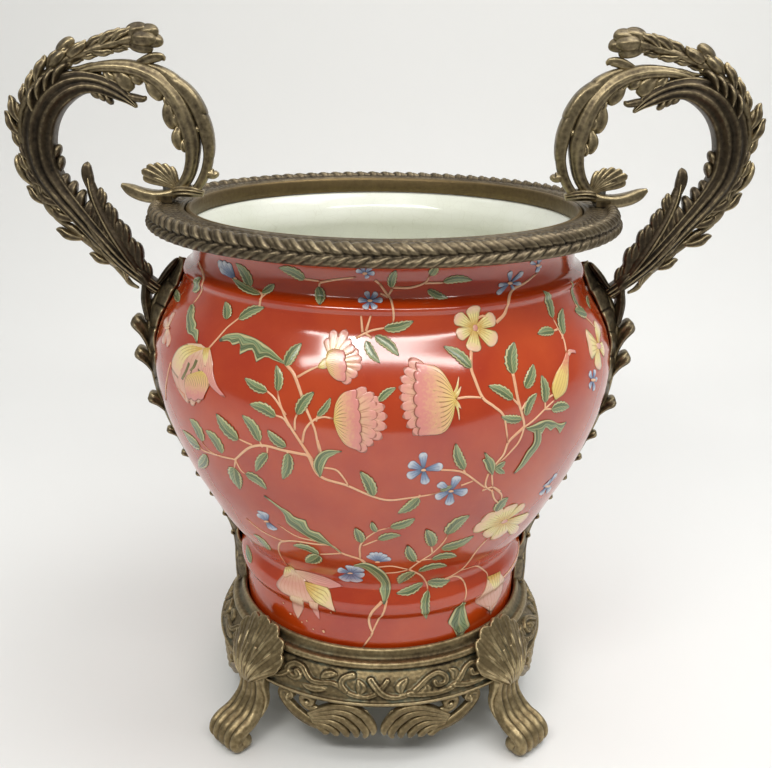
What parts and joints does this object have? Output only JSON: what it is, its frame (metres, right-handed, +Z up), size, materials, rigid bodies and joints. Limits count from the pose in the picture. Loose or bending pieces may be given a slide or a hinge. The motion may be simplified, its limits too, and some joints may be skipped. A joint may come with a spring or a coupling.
{
  "type": "mounted porcelain jardiniere",
  "caption": "Round glazed porcelain jardiniere with a waisted foot, held in a cast bronze frame: braided collar, leafy side straps, scrolled handles and a pierced footed base.",
  "frame": {"origin": "on the floor under the bowl's axis, at the middle of the footprint", "axes": "+X along the handles to the viewer's right, -Y towards the viewer in the picture, +Z up"},
  "size_m": [0.4718, 0.3, 0.4532],
  "materials": {
    "porcelain": "hard-paste porcelain under a glossy coral-red glaze with overglaze flowers; pale celadon crackle glaze inside",
    "collar_bronze": "cast bronze, dark brown-grey patina rubbed lighter on the braid",
    "base_bronze": "cast bronze, light brown-gold patina with a trace of verdigris in the moulding",
    "handle_bronze": "cast bronze, dark brown patina, rubbed golden on the raised edges",
    "band_brass": "plain brass, dulled",
    "pin_brass": "brass, filed flush",
    "screw_steel": "steel, dull",
    "bedding_felt": "thin green felt ring"
  },
  "bodies": {
    "root": {"porcelain_bowl": "porcelain", "foot_bedding": "bedding_felt", "lip_bedding": "bedding_felt", "collar": "collar_bronze", "mouth_band": "band_brass", "base_ring": "base_bronze", "leg_1": "base_bronze", "leg_2": "base_bronze", "leg_3": "base_bronze", "leg_4": "base_bronze", "side_apron_1": "base_bronze", "side_apron_2": "base_bronze", "front_apron_1": "base_bronze", "front_apron_2": "base_bronze", "strap_right": "handle_bronze", "strap_left": "handle_bronze", "handle_arm_right": "handle_bronze", "handle_arm_left": "handle_bronze", "handle_hoop_right": "handle_bronze", "handle_hoop_left": "handle_bronze", "handle_spray_right": "handle_bronze", "handle_spray_left": "handle_bronze", "arm_leaf_right": "handle_bronze", "arm_leaf_left": "handle_bronze", "handle_lug_right": "band_brass", "handle_lug_left": "band_brass", "collar_bolt_right": "screw_steel", "collar_bolt_left": "screw_steel", "base_bolt_right": "screw_steel", "base_bolt_left": "screw_steel", "arm_screw_right": "screw_steel", "arm_screw_left": "screw_steel", "spray_pin_1_right": "pin_brass", "spray_pin_1_left": "pin_brass", "spray_pin_2_right": "pin_brass", "spray_pin_2_left": "pin_brass", "hoop_pin_right": "pin_brass", "hoop_pin_left": "pin_brass", "leaf_pin_right": "pin_brass", "leaf_pin_left": "pin_brass", "leg_screw_1": "screw_steel", "leg_screw_2": "screw_steel", "leg_screw_3": "screw_steel", "leg_screw_4": "screw_steel", "apron_screw_1": "screw_steel", "apron_screw_2": "screw_steel", "apron_screw_3": "screw_steel", "apron_screw_4": "screw_steel", "apron_screw_5": "screw_steel", "apron_screw_6": "screw_steel", "apron_screw_7": "screw_steel", "apron_screw_8": "screw_steel"}
  },
  "joints": []
}
